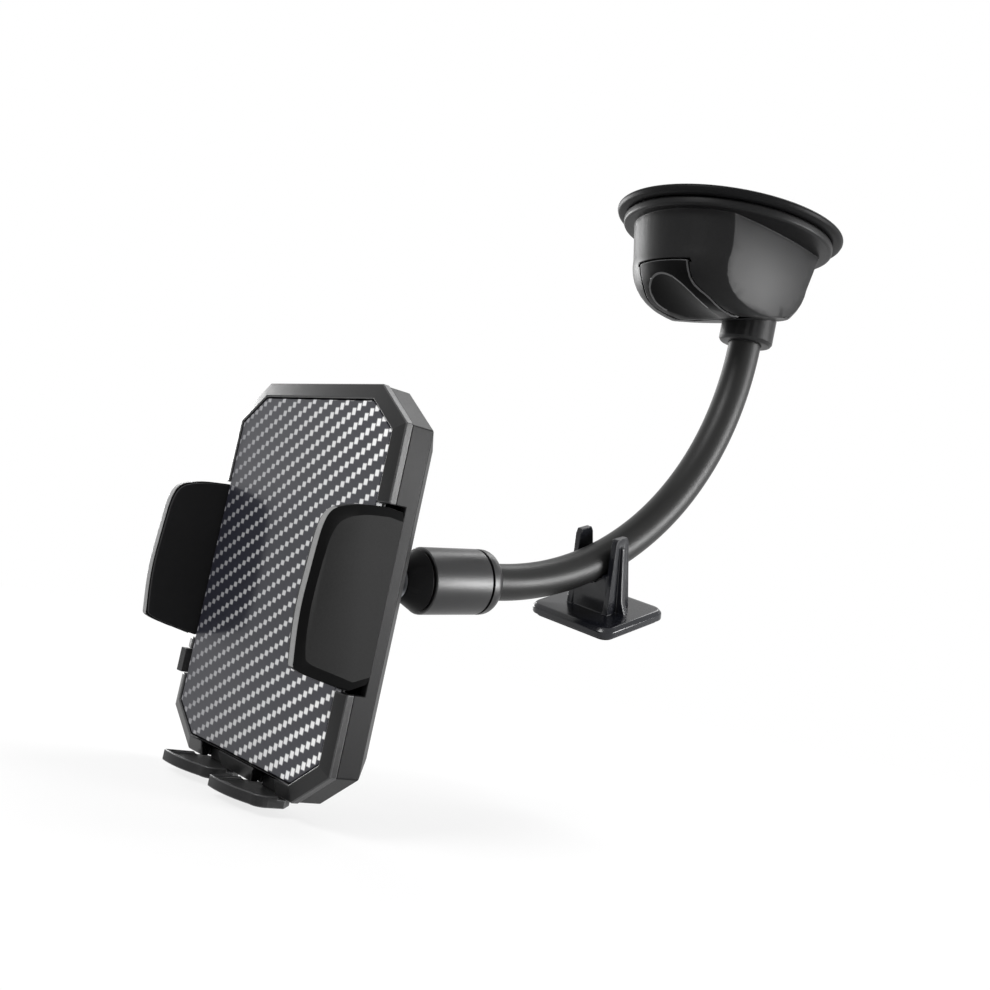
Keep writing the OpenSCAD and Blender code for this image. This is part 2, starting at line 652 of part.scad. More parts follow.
// Rear shell: a hollow tray with a sloped edge, the ball stud's boss, posts and ribs
module rear_shell() color("#2a2b2e") in_cradle() difference() {
  union() {
    difference() {
      hull() {
        slab(octagon(shell_in), band, side_d);
        slab(octagon(rear_in), band, cradle_d);
      }
      hull() {
        slab(octagon(shell_in + shell_wall), band - over, side_d);
        slab(octagon(rear_in + shell_wall), band - over, cradle_d - shell_wall);
      }
    }
    post(0, ball_up, stud_boss_r, cradle_d - shell_wall, stud_boss_d);
    for (x = [-screw_x, screw_x]) for (z = [-screw_z, screw_z]) post(x, z, pillar_r + rail_t / 2,
        pillar_end, cradle_d);
    for (x = [-1, 1]) for (z = [-1, 1]) post(x * (guide_half_w - 2 * rail_t),
        z > 0 ? guide_up - 2 * rail_t : 2 * rail_t - guide_down, rail_t * 1.5, guide_d0 + guide_t + run,
        cradle_d);
    for (x = [-1, 1]) block(x * (leg_in + leg_out) / 2 - rail_t / 2,
        x * (leg_in + leg_out) / 2 + rail_t / 2, leg_d1 + gap, cradle_d - over,
        2 * shell_wall - cradle_h / 2, carrier_top);
    block(post_x, post_x + post_t, leg_d0, cradle_d - over, button_z - slider_h / 2,
        button_z + slider_h / 2);
  }
  post(0, ball_up, stud_bore_r, 0, stud_boss_d + over);
  for (x = [-screw_x, screw_x]) for (z = [-screw_z, screw_z]) {
    post(x, z, screw_r + seam, 0, cradle_d + over);
    post(x, z, screw_head_r + seam, cradle_d - screw_head_t - seam, cradle_d + over);
  }
  for (side = [-1, 1]) block(side > 0 ? notch_x : -cradle_w, side > 0 ? cradle_w : -notch_x, 0,
      arm_rear_d + gap, -notch_half_h, notch_half_h);
  for (side = [-1, 1]) block(side > 0 ? leg_in - gap : -leg_out - gap,
      side > 0 ? leg_out + gap : gap - leg_in, 0, leg_d1 + gap, -cradle_h, -cradle_h / 2 + 2 * shell_wall);
  button_window();
}
module shell_screws() color("#85888d") in_cradle() for (x = [-screw_x, screw_x]) for (z = [-screw_z,
    screw_z]) difference() {
  union() {
    post(x, z, screw_head_r, cradle_d - screw_head_t - seam, cradle_d - seam);
    post(x, z, screw_r, band + rail_t, cradle_d - screw_head_t);
  }
  post(x, z, screw_head_r / 2, cradle_d - screw_head_t / 2, cradle_d);
}

// Guide plate: carries the pinion's axle, two rails for the racks, the pawl's pin and the spring's post
module guide_plate() color("#c9c9c4") in_cradle() difference() {
  union() {
    block(-guide_half_w, guide_half_w, guide_d0, guide_d0 + guide_t, -guide_down, guide_up);
    block(-guide_half_w, guide_half_w, rack_d0, guide_d0 + gap, tongue_edge + gap,
        tongue_edge + gap + rail_t);
    block(0, guide_half_w, rack_d0, guide_d0 + gap, -tongue_edge - gap - rail_t, -tongue_edge - gap);
    block(arm_post_x - post_t / 2, arm_post_x + post_t, rack_d0, guide_d0 + guide_t,
        arm_spring_z - small_spring_r - small_wire, arm_spring_z + small_spring_r + small_wire);
  }
  post(0, 0, axle_r + run, 0, cradle_d);
  post(pawl_x, pawl_z, pawl_pin_r + run, 0, cradle_d);
  for (x = [-1, 1]) block(x * guide_half_w * 2 / 3 - guide_half_w / 6,
      x * guide_half_w * 2 / 3 + guide_half_w / 6, 0, cradle_d, -pinion_r / 2, pinion_r / 2);
}
module pinion_axle() color("#b4b7bc") in_cradle() {
  post(0, 0, axle_r, rack_d0, guide_d0 + guide_t + gap);
  post(0, 0, axle_head_r, guide_d0 + guide_t + run, guide_d0 + guide_t + axle_head_t);
}
// One pinion tooth: involute flanks from the base circle out
function involute(rb, r) = let (t = sqrt(r * r / rb / rb - 1)) t * 180 / PI - atan(t);
module pinion() color("#d6d2c6") in_cradle() difference() {
  rb = pinion_r * cos(tooth_slope);
  half = (tooth_pitch / 2 - tooth_play) / 2 / pinion_r * 180 / PI + involute(rb, pinion_r);
  tip = pinion_r + pinion_add;
  root = pinion_r - pinion_ded;
  translate([0, rack_d1 - seam, 0]) rotate([90, 0, 0]) linear_extrude(rack_d1 - rack_d0 - 2 * seam)
      union() {
    circle(r = root);
    for (i = [0:pinion_teeth - 1]) rotate(90 + 360 * i / pinion_teeth) polygon(concat([[0, 0]],
      [for (k = [0:4]) let (r = max(rb, root + (tip - root) * k / 4), q = root + (tip - root) * k / 4,
          a = half - involute(rb, r)) q * [cos(a), -sin(a)]],
      [for (k = [4:-1:0]) let (r = max(rb, root + (tip - root) * k / 4), q = root + (tip - root) * k / 4,
          a = half - involute(rb, r)) q * [cos(a), sin(a)]]));
  }
  post(0, 0, axle_r + run, 0, cradle_d);
}

// Clamp arm: its front edge, in shares of its reach and height, from the top to the bottom
arm_shares = [[0.02, 0.5], [-0.35, 0.478], [-0.66, 0.42], [-0.83, 0.33], [-0.93, 0.2], [-0.99, 0.04],
    [-1, -0.12], [-0.965, -0.28], [-0.9, -0.38], [-0.8, -0.425], [-0.4, -0.468], [0.02, -0.5]];
arm_rear_shares = [0.49, -0.455];
// The outline of the arm, drawn in at the front, the top and the bottom, as (depth, height)
function arm_points(inset) = let (front = 1 - inset / arm_reach, high = 1 - 2 * inset / arm_h)
  concat([[arm_rear_d, arm_h * arm_rear_shares[0] * high]], spline([for (p = arm_shares)
      [p[0] * arm_reach * front, p[1] * arm_h * high]], 4),
    [[0, -arm_h / 2 * high], [arm_rear_d, arm_h * arm_rear_shares[1] * high]]);
// The rack's tongue in the cradle's frame, teeth down, reaching inward from the right arm
module tongue() {
  edge = pinion_r + rack_ded;
  slab([[arm_inner_x + run, edge], [arm_inner_x + run, tongue_edge], [-tongue_end, tongue_edge],
      [-tongue_end, edge]], rack_d0, rack_d1);
  span = floor((tongue_end + pinion_r) / tooth_pitch);
  half_root = (tooth_pitch / 2 - tooth_play) / 2 + rack_ded * tan(tooth_slope);
  half_tip = (tooth_pitch / 2 - tooth_play) / 2 - rack_add * tan(tooth_slope);
  for (i = [-span:2]) let (x = (i + 0.5) * tooth_pitch)
    if (x - half_root > -tongue_end) slab([[x - half_root, edge + run], [x + half_root, edge + run],
        [x + half_tip, pinion_r - rack_add], [x - half_tip, pinion_r - rack_add]], rack_d0, rack_d1);
}
module paddle() {
  side_slab(arm_points(0), arm_inner_x, arm_inner_x + arm_t - arm_bevel);
  hull() {
    side_slab(arm_points(0), arm_inner_x + arm_t - arm_bevel - run, arm_inner_x + arm_t - arm_bevel);
    side_slab(arm_points(arm_border), arm_inner_x + arm_t - run, arm_inner_x + arm_t);
  }
}
module pad() intersection() {
  side_slab(arm_points(gap), arm_inner_x - pad_t, arm_inner_x);
  block(0, cradle_w, -2 * arm_reach, rack_d0 - 2 * gap, -arm_h, arm_h);
}
module right_arm() color("#232427") in_cradle() {
  paddle();
  tongue();
}
module right_pad() color("#141416") in_cradle() pad();
// The left arm's paddle is the right one mirrored, its rack is the right one turned half round
module left_arm() color("#232427") in_cradle() difference() {
  union() {
    mirror([1, 0, 0]) paddle();
    rotate([0, 180, 0]) tongue();
  }
  for (i = [0:ratchet_teeth - 1]) let (x = pawl_x + pawl_tip_x + ratchet_play + (i - 2) * ratchet_pitch)
    slab([[x, -tongue_edge - over], [x, -tongue_edge], [x + ratchet_pitch, ratchet_depth - tongue_edge],
        [x + ratchet_pitch, -tongue_edge - over]], 0, cradle_d);
}
module left_pad() color("#141416") in_cradle() mirror([1, 0, 0]) pad();
module arm_spring() color("#a8abb0") in_cradle() translate([arm_post_x + post_t, (rack_d0 + rack_d1) / 2,
    arm_spring_z]) rotate([0, 90, 0])
  coil(small_spring_r - small_wire / 2, small_wire, 9, -tongue_end - arm_post_x - post_t);

// Latch: a pawl in the left rack's ratchet teeth, lifted by the button's ramp
module latch_pawl() color("#b8aa86") in_cradle() translate([pawl_x, 0, pawl_z]) difference() {
  union() {
    post(0, 0, pawl_hub_r, rack_d0 + seam, rack_d1 - seam);
    slab([[0, -pawl_hub_r], [pawl_tip_x, pawl_tip_z - 2 * pawl_arm_w], [pawl_tip_x, pawl_tip_z],
        [pawl_tip_x - pawl_arm_w, pawl_tip_z - ratchet_depth - seam], [0, pawl_hub_r / 2]],
        rack_d0 + seam, rack_d1 - seam);
    slab([[0, pawl_hub_r], [pawl_tail_x, pawl_tail_z + pawl_arm_w], [pawl_tail_x, pawl_tail_z], [0,
        -pawl_hub_r]], rack_d0 + seam, rack_d1 - seam);
  }
  post(0, 0, pawl_pin_r + run, 0, cradle_d);
}
module pawl_pin() color("#b4b7bc") in_cradle() post(pawl_x, pawl_z, pawl_pin_r, rack_d0,
    guide_d0 + guide_t);
module release_button() color("#2b2c2f") in_cradle() {
  block(-cradle_w / 2 - button_out, button_in - cradle_w / 2, button_d0, button_d1,
      button_z - button_h / 2, button_z + button_h / 2);
  block(gap - cradle_w / 2, button_in - cradle_w / 2, button_d1 - gap, rack_d1, button_z - slider_h / 2,
      button_z + slider_h / 2);
  block(gap - cradle_w / 2, slider_end_x, rack_d0, rack_d1, button_z - slider_h / 2,
      button_z + slider_h / 2);
  slab([[ramp_x0, button_z], [ramp_x1, button_z], [ramp_x1, ramp_z(ramp_x1)], [ramp_x0,
      ramp_z(ramp_x0)]], rack_d0, rack_d1);
}
// Height of the ramp's face at x, just under the pawl's tail
function ramp_z(x) = pawl_z + pawl_tail_z - gap - ramp_share * (x - pawl_x - pawl_tail_x);
module button_spring() color("#a8abb0") in_cradle() translate([slider_end_x, (rack_d0 + rack_d1) / 2,
    button_z]) rotate([0, 90, 0])
  coil(small_spring_r - small_wire / 2, small_wire, 4, post_x - slider_end_x);

// Bottom feet: a sliding carrier with two legs, and a bowed foot with a raised lip on each leg
module feet_carrier() color("#26272a") in_cradle() {
  for (side = [-1, 1]) block(side > 0 ? leg_in : -leg_out, side > 0 ? leg_out : -leg_in, leg_d0, leg_d1,
      shelf_top, carrier_top);
  block(-leg_out, leg_out, leg_d0, leg_d1, carrier_top - carrier_bar, carrier_top);
}
// A foot seen from above: its front bows out and sweeps back to a round corner; both feet are alike
function foot_front(inset) = bow([inset, inset - feet_reach], [foot_span - foot_end_r,
    foot_sweep + inset - feet_reach], foot_bow, 8);
function foot_corner(inset) = arc(foot_span - foot_end_r, foot_sweep + foot_end_r - feet_reach,
    foot_end_r - inset, -80, 0, 6);
module foot_plan(inset, back) polygon(concat(foot_front(inset), foot_corner(inset),
  [[foot_span - inset, back - foot_end_r], [foot_span - foot_end_r, back], [foot_lip_t, back], [inset,
      back - foot_lip_t]]));
module foot_shape() difference() {
  translate([0, 0, shelf_top - shelf_t]) linear_extrude(foot_lip_top - shelf_top + shelf_t) foot_plan(0,
      leg_d1);
  translate([0, 0, shelf_top]) linear_extrude(foot_lip_top - shelf_top + over) foot_plan(foot_lip_t,
      2 * cradle_d);
  translate([0, 0, foot_lip_top - foot_ledge]) linear_extrude(foot_ledge +
      over) foot_plan(foot_lip_t / 2, 2 * cradle_d);
  block(-over, foot_span + over, -2 * gap, 2 * cradle_d, shelf_top, 0);
}
module right_foot() color("#303135") in_cradle() translate([foot_gap, 0, 0]) foot_shape();
module left_foot() color("#303135") in_cradle() translate([-foot_gap - foot_span, 0, 0]) foot_shape();

// Support foot: plate with a raised edge, two ribbed prongs and a saddle cut by the neck
module at_foot() translate([0, neck_cy + bend_r * cos(foot_place),
    neck_top - bend_r * sin(foot_place)]) rotate([foot_pitch, foot_roll, foot_yaw]) translate([0, 0,
    -foot_drop]) children();
function rounded(w, l, r) = concat(arc(w / 2 - r, l / 2 - r, r, 0, 90, 6), arc(r - w / 2, l / 2 - r, r,
    90, 180, 6), arc(r - w / 2, r - l / 2, r, 180, 270, 6), arc(w / 2 - r, r - l / 2, r, 270, 360, 6));
module support_foot() color("#33363d") difference() {
  at_foot() {
    hull() {
      translate([0, 0, -foot_t]) linear_extrude(foot_t - foot_bevel) polygon(rounded(foot_w, foot_l,
          foot_round));
      linear_extrude(run) polygon(rounded(foot_w - 2 * foot_bevel, foot_l - 2 * foot_bevel,
          foot_round - foot_bevel));
    }
    for (side = [-1, 1]) {
      side_slab([[-prong_base_half, -over], [prong_base_half, -over], [prong_top_half, prong_h - rail_t],
          [prong_top_half - rail_t / 2, prong_h], [rail_t / 2 - prong_top_half, prong_h],
          [-prong_top_half, prong_h - rail_t]],
        side > 0 ? prong_in : -prong_in - prong_t, side > 0 ? prong_in + prong_t : -prong_in);
      translate([0, rib_t / 2, 0]) rotate([90, 0, 0]) linear_extrude(rib_t) polygon([[side * (prong_in +
          prong_t / 2), -over], [side * (prong_in + prong_t + 2 * rib_out), -over],
        [side * (prong_in + prong_t + rib_out), saddle_z / 3],
            [side * (prong_in + prong_t + rib_out / 2), prong_h - 2 * rail_t],
            [side * (prong_in + prong_t / 2), prong_h - rail_t]]);
    }
    block(-prong_in - over, prong_in + over, -saddle_half, saddle_half, -over, saddle_z);
  }
  neck_path(neck_r + gap);
}
module foot_pad() color("#17181a") at_foot() translate([0, 0,
    -foot_t - foot_pad_t]) linear_extrude(foot_pad_t) polygon(rounded(foot_w - 2 * foot_pad_inset,
    foot_l - 2 * foot_pad_inset, foot_round - foot_pad_inset));

suction_cup();
cup_housing();
pull_stem();
stem_spring();
lever();
lever_pin();
neck_collar();
neck_screw();
gooseneck_sleeve();
gooseneck_core();
rear_cap();
socket_collet();
joint_sleeve();
ball_seat();
ball_stud();
stud_washer();
stud_screw();
front_bezel();
carbon_plate();
rear_shell();
shell_screws();
guide_plate();
pinion_axle();
pinion();
right_arm();
right_pad();
left_arm();
left_pad();
arm_spring();
latch_pawl();
pawl_pin();
release_button();
button_spring();
feet_carrier();
left_foot();
right_foot();
support_foot();
foot_pad();
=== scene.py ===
import json
import math

import bmesh
import bpy
from mathutils import Matrix, Vector

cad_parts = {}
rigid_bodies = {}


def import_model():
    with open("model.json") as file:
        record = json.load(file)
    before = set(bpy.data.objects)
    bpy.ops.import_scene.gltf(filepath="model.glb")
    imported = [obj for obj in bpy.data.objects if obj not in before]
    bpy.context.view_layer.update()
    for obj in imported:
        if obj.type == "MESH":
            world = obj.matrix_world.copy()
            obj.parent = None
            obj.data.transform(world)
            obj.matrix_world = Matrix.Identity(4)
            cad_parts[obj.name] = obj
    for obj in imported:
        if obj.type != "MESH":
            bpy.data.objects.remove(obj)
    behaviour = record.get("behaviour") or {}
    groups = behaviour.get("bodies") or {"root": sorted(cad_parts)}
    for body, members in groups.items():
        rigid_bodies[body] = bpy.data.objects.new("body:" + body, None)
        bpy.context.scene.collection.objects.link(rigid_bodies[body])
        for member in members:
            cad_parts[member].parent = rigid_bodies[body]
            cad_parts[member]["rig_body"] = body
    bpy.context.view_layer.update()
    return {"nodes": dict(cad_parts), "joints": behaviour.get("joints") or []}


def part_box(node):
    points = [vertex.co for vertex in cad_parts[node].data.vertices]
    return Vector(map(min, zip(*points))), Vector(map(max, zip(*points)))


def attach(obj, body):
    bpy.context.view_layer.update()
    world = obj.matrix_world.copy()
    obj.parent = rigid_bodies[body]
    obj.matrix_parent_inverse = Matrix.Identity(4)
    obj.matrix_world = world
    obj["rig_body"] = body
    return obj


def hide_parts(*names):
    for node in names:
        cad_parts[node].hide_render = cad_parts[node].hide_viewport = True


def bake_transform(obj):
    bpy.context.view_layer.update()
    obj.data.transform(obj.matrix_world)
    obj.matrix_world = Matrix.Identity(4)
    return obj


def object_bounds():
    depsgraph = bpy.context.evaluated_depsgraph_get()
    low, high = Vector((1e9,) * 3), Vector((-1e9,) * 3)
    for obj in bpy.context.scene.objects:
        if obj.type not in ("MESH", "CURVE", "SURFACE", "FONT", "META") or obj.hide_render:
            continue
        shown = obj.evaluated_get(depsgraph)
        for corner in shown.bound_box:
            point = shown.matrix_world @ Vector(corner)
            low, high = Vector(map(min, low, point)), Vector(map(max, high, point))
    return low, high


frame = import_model()

# Suction cup: one soft disc of black rubber, moulded with a thick rim, a thin skin and a hub in the middle.
# The hub holds the stem's plate. With the lever shut the middle is drawn in; the real cup goes flat as the
# stem rises, but this mesh keeps the drawn-in shape.
mm = 0.001
cup_r = 34.4 * mm
rim_h = 2.4 * mm
rim_in_r = 28.2 * mm
skin_t = 1.9 * mm
hub_r = 8 * mm
hub_foot = 5.6 * mm
face_hollow = 0.3 * mm
stem_r = 2.7 * mm
plate_r = 5.5 * mm
plate_top = 3.1 * mm
plate_foot = 4.5 * mm
plate_gap = 0.05 * mm
dome_r = 16 * mm
dome_mid_r = 10 * mm
dome_mid_in = 1.7 * mm
dome_flat_r = 5.8 * mm
drawn = 2.7 * mm
hub_shoulder = 0.8 * mm
hub_root = 0.9 * mm
hub_taper = 0.6 * mm
cup_steps = 128
skin_grain = 0.012 * mm
weld = 0.002 * mm
sharp_angle = math.radians(32)
cup_black = (0.006, 0.006, 0.0063)


def place(tree, kind, inputs=None, **settings):
    made = tree.nodes.new("ShaderNode" + kind)
    for key, value in settings.items():
        setattr(made, key, value)
    for key, value in (inputs or {}).items():
        if isinstance(value, bpy.types.NodeSocket):
            tree.links.new(value, made.inputs[key])
        else:
            made.inputs[key].default_value = value
    return made


def group(name, inputs, outputs):
    tree = bpy.data.node_groups.new(name, "ShaderNodeTree")
    for kind, label in inputs:
        tree.interface.new_socket(label, in_out="INPUT", socket_type="NodeSocket" + kind)
    for kind, label in outputs:
        tree.interface.new_socket(label, in_out="OUTPUT", socket_type="NodeSocket" + kind)
    return tree, tree.nodes.new("NodeGroupInput").outputs, tree.nodes.new("NodeGroupOutput").inputs


def moulded_skin():
    """Mottled colour, uneven gloss and a fine spark-eroded grain, as a moulding tool leaves them."""
    tree, given, out = group("moulded_skin",
                             [("Vector", "Place"), ("Color", "Colour"), ("Float", "Gloss"),
                              ("Float", "Unevenness")],
                             [("Color", "Colour"), ("Float", "Roughness"), ("Float", "Height")])
    patch = place(tree, "TexNoise", {"Vector": given["Place"], "Scale": 55.0, "Detail": 3.0})
    speck = place(tree, "TexNoise", {"Vector": given["Place"], "Scale": 1900.0, "Detail": 2.0})
    grain = place(tree, "TexNoise", {"Vector": given["Place"], "Scale": 5200.0, "Detail": 2.0})
    both = place(tree, "Math", {0: patch.outputs["Fac"], 1: speck.outputs["Fac"]}, operation="ADD")
    swing = place(tree, "Math", {0: both.outputs[0], 1: 1.0}, operation="SUBTRACT")
    shade = place(tree, "Math", {0: swing.outputs[0], 1: given["Unevenness"], 2: 1.0},
                  operation="MULTIPLY_ADD")
    tint = place(tree, "VectorMath", {0: given["Colour"], "Scale": shade.outputs[0]}, operation="SCALE")
    dull = place(tree, "Math", {0: swing.outputs[0], 1: 0.12, 2: given["Gloss"]}, operation="MULTIPLY_ADD")
    tree.links.new(tint.outputs[0], out["Colour"])
    tree.links.new(dull.outputs[0], out["Roughness"])
    tree.links.new(grain.outputs["Fac"], out["Height"])
    return tree


skin_group = moulded_skin()


def moulded(name, colour, gloss, uneven=0.5, grain=skin_grain, specular=0.06):
    """A moulded plastic or rubber: gloss is its roughness, grain the depth of its texture."""
    material = bpy.data.materials.new(name)
    material.use_nodes = True
    tree = material.node_tree
    shader = tree.nodes["Principled BSDF"]
    where = place(tree, "TexCoord")
    skin = place(tree, "Group", node_tree=skin_group)
    tree.links.new(where.outputs["Object"], skin.inputs["Place"])
    skin.inputs["Colour"].default_value = (*colour, 1)
    skin.inputs["Gloss"].default_value = gloss
    skin.inputs["Unevenness"].default_value = uneven
    bump = place(tree, "Bump", {"Height": skin.outputs["Height"], "Distance": grain, "Strength": 1.0})
    tree.links.new(skin.outputs["Colour"], shader.inputs["Base Color"])
    tree.links.new(skin.outputs["Roughness"], shader.inputs["Roughness"])
    tree.links.new(bump.outputs["Normal"], shader.inputs["Normal"])
    shader.inputs["Specular IOR Level"].default_value = specular
    return material


def turned(profile, steps=96, closed=False):
    """A profile of (radius, height) points spun round Z."""
    bm = bmesh.new()
    points = [bm.verts.new((r, 0, z)) for r, z in profile]
    pairs = list(zip(points, points[1:])) + ([(points[-1], points[0])] if closed else [])
    lines = [bm.edges.new(pair) for pair in pairs]
    bmesh.ops.spin(bm, geom=points + lines, cent=(0, 0, 0), axis=(0, 0, 1), angle=math.tau, steps=steps,
                   use_merge=True)
    bmesh.ops.remove_doubles(bm, verts=bm.verts, dist=weld)
    return bm


def soften(bm, width, segments=3, above=30):
    """Rounds every edge that is sharper than an angle in degrees."""
    sharp = [e for e in bm.edges if len(e.link_faces) == 2 and e.calc_face_angle() > math.radians(above)]
    bmesh.ops.bevel(bm, geom=sharp, offset=width, affect="EDGES", segments=segments, profile=0.5,
                    clamp_overlap=True, material=-1)


def show(bm, name, body, slot, materials, *nodes, outward=True):
    """Makes the mesh a piece of the object, smooth but for its sharp edges."""
    if outward:
        bmesh.ops.recalc_face_normals(bm, faces=bm.faces)
    mesh = bpy.data.meshes.new(name)
    bm.to_mesh(mesh)
    bm.free()
    mesh.shade_smooth()
    mesh.set_sharp_from_angle(angle=sharp_angle)
    piece = bpy.data.objects.new(name, mesh)
    bpy.context.scene.collection.objects.link(piece)
    for material in materials if isinstance(materials, list) else [materials]:
        mesh.materials.append(material)
    if body:
        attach(piece, body)
    if nodes:
        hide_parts(*nodes)
    return piece


cup_rubber = moulded("cup_rubber", cup_black, 0.42, uneven=0.4)
cup = turned([(dome_r, -face_hollow), (rim_in_r, -face_hollow), (cup_r - 0.6 * rim_h, 0),
              (cup_r - 0.2 * rim_h, -0.02 * rim_h), (cup_r, -0.22 * rim_h), (cup_r, -0.45 * rim_h),
              (cup_r - 0.15 * rim_h, -0.8 * rim_h), (cup_r - 0.5 * rim_h, -rim_h),
              (cup_r - 2 * rim_h, -rim_h), (rim_in_r, -skin_t), (dome_r, -skin_t)],
             steps=cup_steps, closed=True)
soften(cup, 0.25 * mm)
show(cup, "suction_disc", "cup_head", "rubber_black", cup_rubber, "suction_cup")
hub = turned([(0, -drawn), (dome_flat_r, -drawn), (dome_mid_r, -dome_mid_in), (dome_r, -face_hollow),
              (dome_r, -skin_t), (hub_r + 2 * skin_t, -skin_t - hub_shoulder), (hub_r, -drawn - hub_root),
              (hub_r - hub_taper, -hub_foot), (stem_r, -hub_foot), (stem_r, -plate_foot - plate_gap),
              (plate_r + plate_gap, -plate_foot - plate_gap),
              (plate_r + plate_gap, -plate_top + plate_gap), (0, -plate_top + plate_gap)], steps=cup_steps)
hub_piece = show(hub, "cup_hub", None, "rubber_black", cup_rubber, "suction_cup")
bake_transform(hub_piece)

# Pull stem, its spring and the lever's pin: bright turned steel. The stem's plate is moulded into the hub,
# the spring stands on the housing's web, and the pin is pressed through the stem's eye.
steel_grey = (0.56, 0.57, 0.59)
stem_spring_r = 3.9 * mm
stem_wire = 0.7 * mm
stem_turns = 4
tool_mark = 0.01 * mm
end_turns = 0.75
coil_steps = 24
wire_sides = 10
clean_angle = math.radians(1.5)


def machined(name, colour, gloss=0.28):
    """Turned or drawn metal: fine slanting tool marks, and a few dull patches."""
    material = bpy.data.materials.new(name)
    material.use_nodes = True
    tree = material.node_tree
    shader = tree.nodes["Principled BSDF"]
    where = place(tree, "TexCoord")
    patch = place(tree, "TexNoise", {"Vector": where.outputs["Object"], "Scale": 240.0, "Detail": 4.0})
    marks = place(tree, "TexWave", {"Vector": where.outputs["Object"], "Scale": 1400.0, "Distortion": 2.0},
                  bands_direction="DIAGONAL")
    rough = place(tree, "MapRange", {"Value": patch.outputs["Fac"], "To Min": gloss, "To Max": gloss + 0.16})
    tone = place(tree, "MixRGB", {"Fac": patch.outputs["Fac"], "Color1": (*colour, 1),
                                  "Color2": (*[0.72 * c for c in colour], 1)})
    bump = place(tree, "Bump", {"Height": marks.outputs["Fac"], "Distance": tool_mark, "Strength": 0.5})
    tree.links.new(rough.outputs[0], shader.inputs["Roughness"])
    tree.links.new(tone.outputs[0], shader.inputs["Base Color"])
    tree.links.new(bump.outputs[0], shader.inputs["Normal"])
    shader.inputs["Metallic"].default_value = 1
    return material


def spring(radius, wire, turns, height):
    """A wire circle wound round Z, with a flat turn at each end."""
    bm = bmesh.new()
    ring = bmesh.ops.create_circle(bm, segments=wire_sides, radius=wire / 2)["verts"]
    bmesh.ops.rotate(bm, verts=ring, cent=(0, 0, 0), matrix=Matrix.Rotation(math.pi / 2, 3, "X"))
    bmesh.ops.translate(bm, verts=ring, vec=(radius, 0, wire / 2))
    geom = list(bm.verts) + list(bm.edges)
    open_turns = turns - 2 * end_turns
    for part_turns, climb in ((end_turns, wire), (open_turns, height - 3 * wire), (end_turns, wire)):
        steps = round(coil_steps * part_turns)
        geom = bmesh.ops.spin(bm, geom=geom, cent=(0, 0, 0), axis=(0, 0, 1), dvec=(0, 0, climb / steps),
                              angle=math.tau * part_turns, steps=steps)["geom_last"]
    bmesh.ops.holes_fill(bm, edges=[e for e in bm.edges if e.is_boundary])
    return bm


def dressed(node, width=0.2 * mm, materials=None, slot=None, segments=2, change=None, highlight_slot=-1):
    """A copy of a CAD solid, merged to clean faces, with its edges rounded."""
    source = frame["nodes"][node]
    bm = bmesh.new()
    bm.from_mesh(source.data)
    bmesh.ops.remove_doubles(bm, verts=bm.verts, dist=weld)
    bmesh.ops.dissolve_limit(bm, angle_limit=clean_angle, verts=bm.verts, edges=bm.edges, delimit={"NORMAL"})
    if change:
        change(bm)
    piece = show(bm, node + "_piece", source["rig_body"], slot, materials, node, outward=False)
    bevel = piece.modifiers.new("Edges", "BEVEL")
    bevel.limit_method = "ANGLE"
    bevel.angle_limit = sharp_angle
    bevel.width = width
    bevel.segments = segments
    # The rounded edges can take a second, paler material: a painted edge highlight.
    bevel.material = highlight_slot
    bevel.use_clamp_overlap = False
    bevel.harden_normals = True
    return piece


steel = machined("bright_steel", steel_grey)
spring_steel = machined("spring_steel", (0.42, 0.43, 0.45), 0.34)
dressed("pull_stem", 0.15 * mm, materials=steel, slot="steel")
low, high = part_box("stem_spring")
coil = spring(stem_spring_r, stem_wire, stem_turns, high.z - low.z)
bmesh.ops.translate(coil, verts=coil.verts, vec=(0, 0, low.z))
stem_coil = show(coil, "stem_coil", None, "steel", spring_steel, "stem_spring")
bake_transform(stem_coil)
dressed("lever_pin", 0.2 * mm, materials=steel, slot="steel")

# Cup housing: the hard flange that presses the rubber's rim and the dome below it, one moulding of satin
# black plastic. Its cheeks are cut in at both sides, and the lever's slot is open to the front.
housing_plastic = moulded("housing_plastic", (0.0075, 0.0075, 0.0078), 0.42, specular=0.13)
dressed("cup_housing", 0.3 * mm, materials=housing_plastic, slot="satin_plastic", segments=3)

# Lever: a thick curved plate that goes on with the dome's surface, with a thumb dish and two round cams
# on the pin. Its plastic is darker than the housing's, and its edges are painted paler as a highlight.
lever_plastic = moulded("lever_plastic", (0.003, 0.003, 0.0031), 0.4, specular=0.04)
# A paler plastic for rounded edges, as a painted highlight.
edge_highlight_plastic = moulded("edge_highlight_plastic", (0.05, 0.05, 0.051), 0.3, uneven=0.7, specular=0.3)
dressed("lever", 0.35 * mm, materials=[lever_plastic, edge_highlight_plastic], slot="satin_plastic", segments=3,
        highlight_slot=1)

# Neck collar and its screw: a turned black collar, keyed in the head, that the screw pulls up from inside.
collar_plastic = moulded("collar_plastic", (0.008, 0.008, 0.0083), 0.38, specular=0.2)
dressed("neck_collar", 0.25 * mm, materials=collar_plastic, slot="satin_plastic")
dressed("neck_screw", 0.12 * mm, materials=steel, slot="steel")

# Gooseneck: a steel wire core in a smooth rubber sleeve. It leaves the collar straight, runs round one bend
# and goes straight into the joint. It gives most just under the collar.
neck_r = 5 * mm
core_r = 3 * mm
bend_r = 90.4 * mm
bend_angle = math.radians(81.35)
neck_plug = 15.6 * mm
neck_sides = 40
root_steps = 4
bend_steps = 72
core_fit = 0.1 * mm
sleeve_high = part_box("gooseneck_sleeve")[1]
bend = next(j for j in frame["joints"] if j["name"] == "neck_bend")
neck_start = Vector(bend["pos_m"])
bend_centre = neck_start - Vector((0, bend_r, 0))


